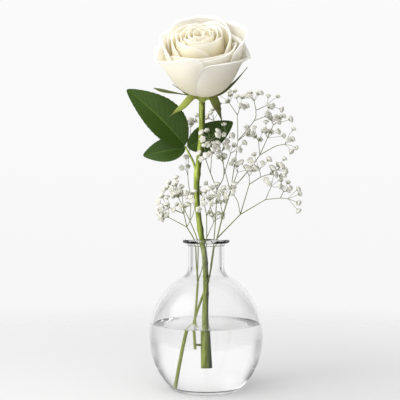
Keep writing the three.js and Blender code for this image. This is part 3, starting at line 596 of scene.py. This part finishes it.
def make_stem():
    """The stem, a leaf's stalk and the stub of another. The stem's radius follows its own curve along the
    path, and swells as a bell curve of the distance to each knot and of the height from each scar."""
    stalk = smooth(ROSE_STEM, 200)
    scars = np.array(STEM_SCARS)
    length = np.concatenate([[0], np.cumsum(np.linalg.norm(np.diff(stalk, axis=0), axis=1))])
    radii = smooth([[r, 0, 0] for r in ROSE_STEM_RADII], 60)[:, 0]
    radius = np.interp(length / length[-1], np.linspace(0, 1, len(radii)), radii)
    from_knot = np.linalg.norm(stalk[:, None] - np.array(STEM_KNOTS), axis=-1)
    radius = radius * (1 + KNOT_SWELL * np.exp(-(from_knot / KNOT_LENGTH) ** 2).sum(axis=1))
    from_scar = np.abs(stalk[:, None, 2] - scars[:, 2])
    radius = radius + SCAR_RIDGE * np.exp(-(from_scar / SCAR_LENGTH) ** 2).sum(axis=1)
    leaf_radius = PETIOLE_RADIUS * np.linspace(1.15, 0.9, 40)
    solid = joined([tube(stalk, radius, 24), tube(smooth(PETIOLE, 40), leaf_radius),
                    tube(smooth(STUB, 12), STUB_RADIUS, 8)])
    away = np.linalg.norm(solid[0][:, None] - scars, axis=-1)
    spots = np.minimum(1, 1.4 * np.exp(-(away / SCAR_SPOT) ** 2).sum(axis=1))
    make("rose_stalk", solid, "rose_stem", [rose_stalk], {"scar": spots})


def lean_bloom(points, base):
    """From the bloom's own frame, with +Z along its axis and +Y to its back, to its place at `base`: turned
    about X by its lean to the front, then about Y by its lean to the side."""
    front, side = math.radians(BLOOM_LEAN), math.radians(BLOOM_SIDE_LEAN)
    forward = np.array([[1, 0, 0],
                        [0, math.cos(front), -math.sin(front)],
                        [0, math.sin(front), math.cos(front)]])
    sideways = np.array([[math.cos(side), 0, math.sin(side)],
                         [0, 1, 0],
                         [-math.sin(side), 0, math.cos(side)]])
    return points @ (sideways @ forward).T + base


BOWL = 0.78                 # share of a petal's length that follows the bowl: the rest is its rolled margin
ROOT = (2, 1)               # radius and height that the bowl starts from
CORNER = 0.34               # how far a petal's outline drops at its sides
SCROLL = 2.2                # radius that the margin of a petal rolls over
TUCK = 0.09                 # how much nearer to the axis a petal's sides are
RUFFLE = 0.4                # height of the waves in a large petal's margin
RUFFLED = 0.34              # share of a petal's length that waves


def petal(u, v, azimuth, rim, height, turn, width, roll, flare, sag, tilt):
    """A petal, with u from -1 to 1 across it and v from 0 to 1 along it. It follows a bowl: its radius goes
    as a power of the sine and its height as the versine of an angle that grows to `turn`, less far at its
    rounded sides, which are tucked in. Past that its margin rolls outward over a small circle. The middle of
    the rim flares out and sags, `tilt` makes one side of it higher, and the margin waves as a sum of two
    sines."""
    full = math.radians(turn)
    size = min(1, rim / CUP["rim"])
    level = np.minimum(v / BOWL, 1) * (1 - CORNER * np.abs(u) ** (4 + 0.7 * flare))
    angle = full * level
    swell = np.sin(angle) ** 0.8 * (1 - TUCK * u ** 4)
    rise = (1 - np.cos(angle)) / (1 - math.cos(full))
    bend = math.radians(roll) * np.maximum(0, (v - BOWL) / (1 - BOWL)) * (1 - 0.7 * np.abs(u) ** 4)
    scroll = SCROLL * size
    tip = (1 - np.abs(u)) ** 2.6 * level ** 6
    waves = np.sin(7 * u + azimuth) + 0.6 * np.sin(16 * u + 2 * azimuth)
    ruffle = RUFFLE * size * waves * np.maximum(0, (v - 1 + RUFFLED) / RUFFLED) ** 1.5
    radius = ROOT[0] + (rim - ROOT[0]) * swell + flare * tip + scroll * (1 - np.cos(bend)) + ruffle
    up = ROOT[1] + (height + tilt * u - ROOT[1]) * rise + scroll * np.sin(bend) - sag * tip + 0.8 * ruffle
    around = np.radians(azimuth + width * u)
    return np.stack([radius * np.cos(around), radius * np.sin(around), up], -1)


def inner_petal(i):
    """The i-th petal of the cup, wound on by the golden angle from the tight heart to the cup's rim. Each of
    its measures goes from the heart's to the cup's as a power of its place."""
    powers = dict(rim=0.85, height=1.3, turn=1, width=0.6, roll=1.5)
    place = i / (INNER_PETALS - 1)
    measures = [HEART[key] + (CUP[key] - HEART[key]) * place ** power for key, power in powers.items()]
    return [GOLDEN_ANGLE * i, *measures, 0, 0, 0]


# A face that looks in gets the painted fold shade of the cup's petals.
INWARD_RING = 0.72          # greatest `ring` of a face that looks in, so that it is creamy too


def make_bloom():
    """The petals from the heart out, as blades. Of the two faces of a blade the one that is nearer to the
    axis, by its mean radius, looks in."""
    u, v = np.meshgrid(np.linspace(-1, 1, 33), np.linspace(0, 1, 28))
    petals = [inner_petal(i) for i in range(INNER_PETALS)] + OUTER_PETALS
    parts, ring, along = [], [], []
    for number, measures in enumerate(petals):
        points, faces = blade(petal(u, v, *measures), PETAL_THICKNESS)
        parts.append((points, faces))
        place = number / (len(petals) - 1)
        radii = np.hypot(points[:, 0], points[:, 1]).reshape(2, -1).mean(axis=1)
        looks_in = radii < radii.max()
        ring.append(np.repeat(np.where(looks_in, min(place, INWARD_RING), place), u.size))
        along.append(np.tile(v.ravel(), 2))
    points, faces = joined(parts)
    shades = {"ring": np.concatenate(ring), "along": np.concatenate(along)}
    make("rose_petals", (lean_bloom(points, BLOOM_BASE), faces), "rose_bloom", [rose_petal], shades)


def sepal(path, width, facing, spoon):
    """A sepal: a narrow blade about its rib, with its edges bent back as the square of the place across. Its
    half width goes as a power of the sine of a share that grows along it, so that it is widest near its base
    and ends in a thread, or is widest near its tip. Also gives the place along it of each row."""
    rows, columns = 48, 9
    rib = smooth(path, rows)
    ahead = unit(np.gradient(rib, axis=0))
    side = unit(np.cross(ahead, facing))
    v = np.linspace(0, 1, rows)
    share = v ** 3.2 if spoon else np.minimum(1, 0.22 + 0.86 * v)
    half = 0.3 + width * np.maximum(0, np.sin(np.pi * share)) ** 1.2
    u = np.linspace(-1, 1, columns)
    normal = np.cross(side, ahead)
    surface = (rib[:, None] + (half[:, None] * u)[..., None] * side[:, None]
               - (0.25 * half[:, None] * u ** 2)[..., None] * normal[:, None])
    return surface, v


def make_calyx():
    """The turned receptacle under the bloom and the sepals that grow from it."""
    wall = smooth([[r, 0, z] for r, z in RECEPTACLE], 16)[:, [0, 2]]
    cup, cup_faces = revolve([[0, wall[0, 1]], *wall, [0, wall[-1, 1]]], 24)
    parts = [(lean_bloom(cup, CALYX_BASE), cup_faces)]
    along = [np.zeros(len(cup))]
    for path, width, facing, dry, spoon in SEPALS:
        surface, v = sepal(path, width, facing, spoon)
        parts.append(blade(surface, SEPAL_THICKNESS))
        # The dry share moves a sepal's base towards its brown end: drying, and painted shade on the right
        # hanging sepal.
        along.append(np.tile(np.repeat(np.minimum(1, dry + v), surface.shape[1]), 2))
    shades = {"along": np.concatenate(along)}
    make("rose_sepals", joined(parts), "rose_calyx", [rose_sepal], shades)


def leaflet(base, tip, width, roll, fold, arch):
    """A leaflet: a pointed oval, whose half width goes as a power of a sine, folded up along its midrib,
    arched as a sine, with a saw wave of fine teeth on its edge. Also gives how near each point is to a vein:
    a bell curve about the midrib and about slanting lines at even spaces, which fade towards the edge."""
    rows, columns = 90, 41
    base, tip = np.array(base, float), np.array(tip, float)
    ahead = tip - base
    forward = unit(ahead)
    flat_side = unit(np.cross([0, -1, 0], forward))
    r = math.radians(roll)
    flat_side = flat_side * math.cos(r) + np.cross(forward, flat_side) * math.sin(r)
    flat_up = np.cross(forward, flat_side)
    u, v = np.meshgrid(np.linspace(-1, 1, columns), np.linspace(0, 1, rows))
    saw = (v * LEAF_TEETH) % 1
    tooth = 1 + TOOTH_DEPTH * (saw - 0.5) * np.abs(u) ** 8
    half = 0.5 + width * tooth * np.sin(np.pi * v ** 0.8) ** 0.75 * (1 - 0.18 * v)
    f = math.radians(fold)
    lift = half * np.abs(u) * math.sin(f) + arch * np.sin(np.pi * v)
    surface = (base + v[..., None] * ahead + (half * u * math.cos(f))[..., None] * flat_side
               + lift[..., None] * flat_up)
    slant = ((v - VEIN_SLANT * np.abs(u)) * LEAF_VEINS) % 1
    side_veins = np.exp(-(slant - 0.5) ** 2 / 0.004) * 0.5 * (1 - np.abs(u))
    midrib = np.exp(-(u / 0.035) ** 2)
    return surface, np.maximum(side_veins, midrib)


def make_leaflets():
    """The leaf's three leaflets, each a piece of its own."""
    for node, shape in LEAFLETS.items():
        surface, vein = leaflet(*shape)
        shades = {"vein": np.tile(vein.ravel(), 2)}
        make("rose_" + node, blade(surface, LEAFLET_THICKNESS), node, [rose_leaf], shades)


# ------------------------------------------------------------------ baby's breath

def chance(a, b):
    """A number from 0 to 1 that depends only on a and b: what follows the point of a large sine."""
    wide = math.sin(a * 12.9898 + b * 78.233) * 43758.5453
    return wide - math.floor(wide)


def slanted(axis, angle, turn):
    """The direction at `angle` degrees from `axis`, turned by `turn` degrees about it."""
    right = unit(np.cross([0, 1, 0], axis))
    ahead = np.cross(axis, right)
    a, t = math.radians(angle), math.radians(turn)
    return axis * math.cos(a) + right * math.sin(a) * math.cos(t) + ahead * math.sin(a) * math.sin(t)


def sprig(root, heading, count, seed):
    """Places of a sprig's florets, round the end of its branch by the golden angle: `count` that are where
    the CAD has them, then the others, whose threads vary more in length."""
    tips = []
    for k in range(count + MORE_FLORETS):
        spread = SPRIG["narrow"] + (SPRIG["wide"] - SPRIG["narrow"]) * chance(seed, k)
        direction = slanted(heading, spread, GOLDEN_ANGLE * k + 360 * chance(seed, 0.5))
        reach = 0.5 + 0.6 * chance(seed + 0.5, k) if k < count else 0.4 + chance(seed + 0.7, k)
        tips.append(root + direction * SPRIG["reach"] * reach)
    return tips


def balls_along(points, radius):
    """Balls along a run of points, as rows of x, y, z and radius."""
    points = np.asarray(points, float)
    return np.column_stack([points, np.full(len(points), radius)])


def balls_of_stems(spray):
    """Balls that fill a spray's stem and branches."""
    _, (radius, path), branches = spray
    return np.vstack([balls_along(smooth(path, 60), radius)]
                     + [balls_along(smooth(p, 40), r) for r, _, p in branches])


def balls_of_rose():
    """Balls that fill the rose's stem, sepals and leaflets."""
    rows = [balls_along(smooth(ROSE_STEM, 140), KNOT_RADIUS), balls_along(smooth(PETIOLE, 20), PETIOLE_ROOM)]
    rows += [balls_along(smooth(path, 30), width) for path, width, *_ in SEPALS]
    for base, tip, width, *_ in LEAFLETS.values():
        places = [np.array(base) * (1 - t) + np.array(tip) * t for t in (0.25, 0.5, 0.75)]
        rows.append(balls_along(places, width))
    return np.vstack(rows)


def is_clear(balls, others):
    """Whether every ball keeps the clearance to every other one."""
    gaps = np.linalg.norm(balls[:, None, :3] - others[None, :, :3], axis=-1)
    return bool((gaps > balls[:, None, 3] + others[None, :, 3] + CLEARANCE).all())


# A floret from below: radius, height, how far its five petals stand out there, and how white it is. A green
# cup comes first, then a ring of broad petals, and last a smaller tuft that is turned between them.
FLORET_RINGS = [
    (0.3, -1.9, 0, 0), (0.8, -1.35, 0, 0.1),
    (1.85, -0.75, 0.1, 0.9), (2.2, 0.05, 0.16, 1), (1.85, 0.85, 0.16, 1),
    (1.3, 0.6, -0.15, 0.55), (1.15, 1.35, -0.2, 0.95), (0.6, 1.2, 0, 0.5),
]
FLORET_ENDS = (-2, 0.9)     # heights of its lowest and of its middle point
FLORET_SIDES = 10


def floret_template():
    """One double floret about +Z: rings whose radius waves as the cosine of five times the angle."""
    turn = 2 * np.pi * np.arange(FLORET_SIDES) / FLORET_SIDES
    radius, height, lobes, white = np.array(FLORET_RINGS).T
    wide = radius[:, None] * (1 + lobes[:, None] * np.cos(5 * turn))
    level = np.repeat(height[:, None], FLORET_SIDES, axis=1)
    rings = np.stack([wide * np.cos(turn), wide * np.sin(turn), level], -1)
    low, middle = FLORET_ENDS
    points, faces = capped(rings, [0, 0, low], [0, 0, middle])
    return points, faces, np.concatenate([np.repeat(white, FLORET_SIDES), [0, 0.2]])


def make_spray(name, node, spray, sprigs):
    """A spray: its stem and branches as tubes that get thinner outward, and for each (root, tip) a thread
    with a small random bend and a floret of random size that looks along it."""
    seed, (radius, path), branches = spray
    parts = [tube(smooth(path, 80), radius, 10)]
    bloom = [np.zeros(len(parts[0][0]))]
    for thick, _, points in branches:
        stalk = smooth(points, 8 * (len(points) - 1) + 1)
        parts.append(tube(stalk, np.linspace(0.9 * thick, 0.7 * thick, len(stalk)), 6))
        bloom.append(np.zeros(len(parts[-1][0])))
    template, faces, shade = floret_template()
    rng = np.random.default_rng(seed)
    for root, tip in sprigs:
        ahead = unit(tip - root)
        right = unit(np.cross(ahead, [0.3, 0.5, 0.81]))
        back = np.cross(ahead, right)
        sideways, backwards = rng.uniform(-THREAD_BEND, THREAD_BEND, 2)
        middle = (root + tip) / 2 + right * sideways + back * backwards
        parts.append(tube(smooth([root, middle, tip - ahead * THREAD_END], 7), THREAD_RADIUS, 5))
        bloom.append(np.zeros(len(parts[-1][0])))
        size = rng.uniform(*FLORET_SIZES)
        points = tip + size * (template @ np.array([right, back, ahead]))
        parts.append((points, faces))
        bloom.append(shade)
    make(name, joined(parts), node, [babys_breath], {"bloom": np.concatenate(bloom)})


def grow(spray, others, extra):
    """The florets of a spray that stay clear of `others`, those of the CAD or the extra ones: (root, tip)
    pairs and their balls. A branch that has no florets in the CAD has none here."""
    seed, _, branches = spray
    pairs, grown = [], []
    for number, (_, count, points) in enumerate(branches):
        root = np.array(points[-1], float)
        heading = unit(root - np.array(points[-2], float))
        tips = sprig(root, heading, count, 100 * seed + number) if count else []
        for tip in tips[count:] if extra else tips[:count]:
            balls = np.vstack([balls_along(np.linspace(root, tip, 9), TWIG), [[*tip, FLORET_RADIUS]]])
            if is_clear(balls, others):
                pairs.append((root, tip))
                grown.append(balls)
    return pairs, np.vstack(grown)


def make_sprays():
    """Both sprays: first the CAD's florets, in the CAD's order, then the extra ones where there is room."""
    rose = balls_of_rose()
    right_stems, left_stems = balls_of_stems(RIGHT_SPRAY), balls_of_stems(LEFT_SPRAY)
    right, right_balls = grow(RIGHT_SPRAY, np.vstack([rose, left_stems]), False)
    left, left_balls = grow(LEFT_SPRAY, np.vstack([rose, right_stems, right_balls]), False)
    more_right, more_balls = grow(RIGHT_SPRAY, np.vstack([rose, left_stems, left_balls]), True)
    more_left, _ = grow(LEFT_SPRAY, np.vstack([rose, right_stems, right_balls, more_balls]), True)
    make_spray("babys_breath_spray_right", "babys_breath_right", RIGHT_SPRAY, right + more_right)
    make_spray("babys_breath_spray_left", "babys_breath_left", LEFT_SPRAY, left + more_left)


# ------------------------------------------------------------------ the stage, lights and camera

FLOOR = dict(radius=0.85, fades_from=0.12, gone_at=0.65)       # distances from the vase's axis in metres


def floor_surface(tree):
    """Matt uncoated paper: its fibres scatter light evenly, without gloss. It fades to see-through."""
    place = add(tree, "ShaderNodeTexCoord").outputs["Object"]
    away = add(tree, "ShaderNodeVectorMath", {0: place}, operation="LENGTH").outputs["Value"]
    fade = add(tree, "ShaderNodeMapRange", {
        "Value": away, "From Min": FLOOR["fades_from"], "From Max": FLOOR["gone_at"]},
        interpolation_type="SMOOTHSTEP").outputs[0]
    paper = add(tree, "ShaderNodeBsdfDiffuse", {"Color": linear("#dedede")}).outputs[0]
    gone = add(tree, "ShaderNodeBsdfTransparent").outputs[0]
    return add(tree, "ShaderNodeMixShader", {0: fade, 1: paper, 2: gone}).outputs[0]


def make_stage():
    """A round pale floor that fades into the pale surroundings."""
    bpy.ops.mesh.primitive_circle_add(vertices=96, radius=FLOOR["radius"], fill_type="NGON")
    floor = bpy.context.object
    floor.name = "pale_floor"
    floor.data.materials.append(material("matt white paper", floor_surface))


MOST_LIGHT = (-0.8, -0.56, 0.22)    # the way that most of the room's light comes from
WINDOW = (-0.75, -0.27, 0.6)        # the way to the soft window that shows in the glass


def make_world():
    """White studio: its light comes from the front left and a little from above. In the glass it shows as
    pale walls in front and behind, dark ones at both sides with a paler strip at the height of the eye, a
    dimmer ceiling and one soft window. The backdrop itself gets a little lighter to the top."""
    world = bpy.data.worlds.new("studio")
    bpy.context.scene.world = world
    world.use_nodes = True
    tree = world.node_tree
    tree.nodes.clear()
    way = add(tree, "ShaderNodeTexCoord").outputs["Generated"]
    sides = add(tree, "ShaderNodeSeparateXYZ", {0: way})
    height = sides.outputs["Z"]

    towards = add(tree, "ShaderNodeVectorMath", {
        0: way, 1: MOST_LIGHT}, operation="DOT_PRODUCT").outputs["Value"]
    falling = add(tree, "ShaderNodeMapRange", {
        "Value": towards, "From Min": -0.9, "From Max": 0.9, "To Min": 0.06, "To Max": 1.45}).outputs[0]

    across = add(tree, "ShaderNodeMath", {0: sides.outputs["X"]}, operation="ABSOLUTE").outputs[0]
    wall = add(tree, "ShaderNodeMapRange", {
        "Value": across, "From Min": 0.42, "From Max": 0.85, "To Min": 0.95, "To Max": 0.02},
        interpolation_type="SMOOTHSTEP").outputs[0]
    above = add(tree, "ShaderNodeMath", {0: height}, operation="ABSOLUTE").outputs[0]
    strip = add(tree, "ShaderNodeMapRange", {
        "Value": above, "From Min": 0.08, "From Max": 0.26, "To Min": 0.55, "To Max": 0.0},
        interpolation_type="SMOOTHSTEP").outputs[0]
    walls = add(tree, "ShaderNodeMath", {0: wall, 1: strip}, operation="MAXIMUM").outputs[0]
    ceiling = add(tree, "ShaderNodeMapRange", {
        "Value": height, "From Min": 0.1, "From Max": 0.85, "To Min": 1.0, "To Max": 0.6},
        interpolation_type="SMOOTHSTEP").outputs[0]
    room = add(tree, "ShaderNodeMath", {0: walls, 1: ceiling}, operation="MULTIPLY").outputs[0]
    aim = add(tree, "ShaderNodeVectorMath", {0: way, 1: WINDOW}, operation="DOT_PRODUCT").outputs["Value"]
    window = add(tree, "ShaderNodeMapRange", {
        "Value": aim, "From Min": 0.84, "From Max": 1.0, "To Min": 0.0, "To Max": 1.7},
        interpolation_type="SMOOTHSTEP").outputs[0]
    mirrored = add(tree, "ShaderNodeMath", {0: room, 1: window}, operation="ADD").outputs[0]

    backdrop = add(tree, "ShaderNodeMapRange", {
        "Value": height, "From Min": -0.2, "From Max": 0.23, "To Min": 0.92, "To Max": 0.96}).outputs[0]

    path = add(tree, "ShaderNodeLightPath")
    lit = add(tree, "ShaderNodeMix", {0: path.outputs["Is Diffuse Ray"], 2: mirrored, 3: falling}).outputs[0]
    strength = add(tree, "ShaderNodeMix", {0: path.outputs["Is Camera Ray"], 2: lit, 3: backdrop}).outputs[0]
    sky = add(tree, "ShaderNodeBackground", {"Color": (1, 1, 1, 1), "Strength": strength})
    add(tree, "ShaderNodeOutputWorld", {"Surface": sky.outputs[0]})


def make_light(name, place, target, size, watts):
    """A square lamp at `place` that looks at `target`, and that gloss and glass don't show."""
    lamp = bpy.data.lights.new(name, "AREA")
    lamp.energy = watts
    lamp.size = size
    holder = bpy.data.objects.new(name, lamp)
    holder.location = place
    holder.visible_glossy = False
    holder.visible_transmission = False
    holder.rotation_euler = (Vector(target) - Vector(place)).to_track_quat("-Z", "Y").to_euler()
    bpy.context.scene.collection.objects.link(holder)


# Its place in metres, and the lens: an image so many pixels wide, seen from so many pixels away.
CAMERA = dict(x=-0.0055, y=-0.768, z=0.1679, distance_in_pixels=860, image_width=400)


def make_camera():
    """A level camera that looks along +Y."""
    lens = bpy.data.cameras.new("camera")
    lens.angle = 2 * math.atan(CAMERA["image_width"] / 2 / CAMERA["distance_in_pixels"])
    camera = bpy.data.objects.new("camera", lens)
    camera.location = (CAMERA["x"], CAMERA["y"], CAMERA["z"])
    camera.rotation_euler = (math.pi / 2, 0, 0)
    bpy.context.scene.collection.objects.link(camera)
    bpy.context.scene.camera = camera


make_camera()
make_vase()
make_water()
make_stem()
make_bloom()
make_calyx()
make_leaflets()
make_sprays()
make_stage()
make_world()
make_light("window", place=(-1.7, -1, 0.9), target=(0, 0, 0.15), size=0.8, watts=12.4)
make_light("softbox", place=(-0.3, -0.3, 0.85), target=(0, -0.04, 0.3), size=0.5, watts=2.6)

scene = bpy.context.scene
scene.view_settings.view_transform = "Standard"
scene.cycles.use_denoising = True
# Light passes many faces of glass and water.
scene.cycles.max_bounces = 24
scene.cycles.transmission_bounces = 20
scene.cycles.transparent_max_bounces = 24
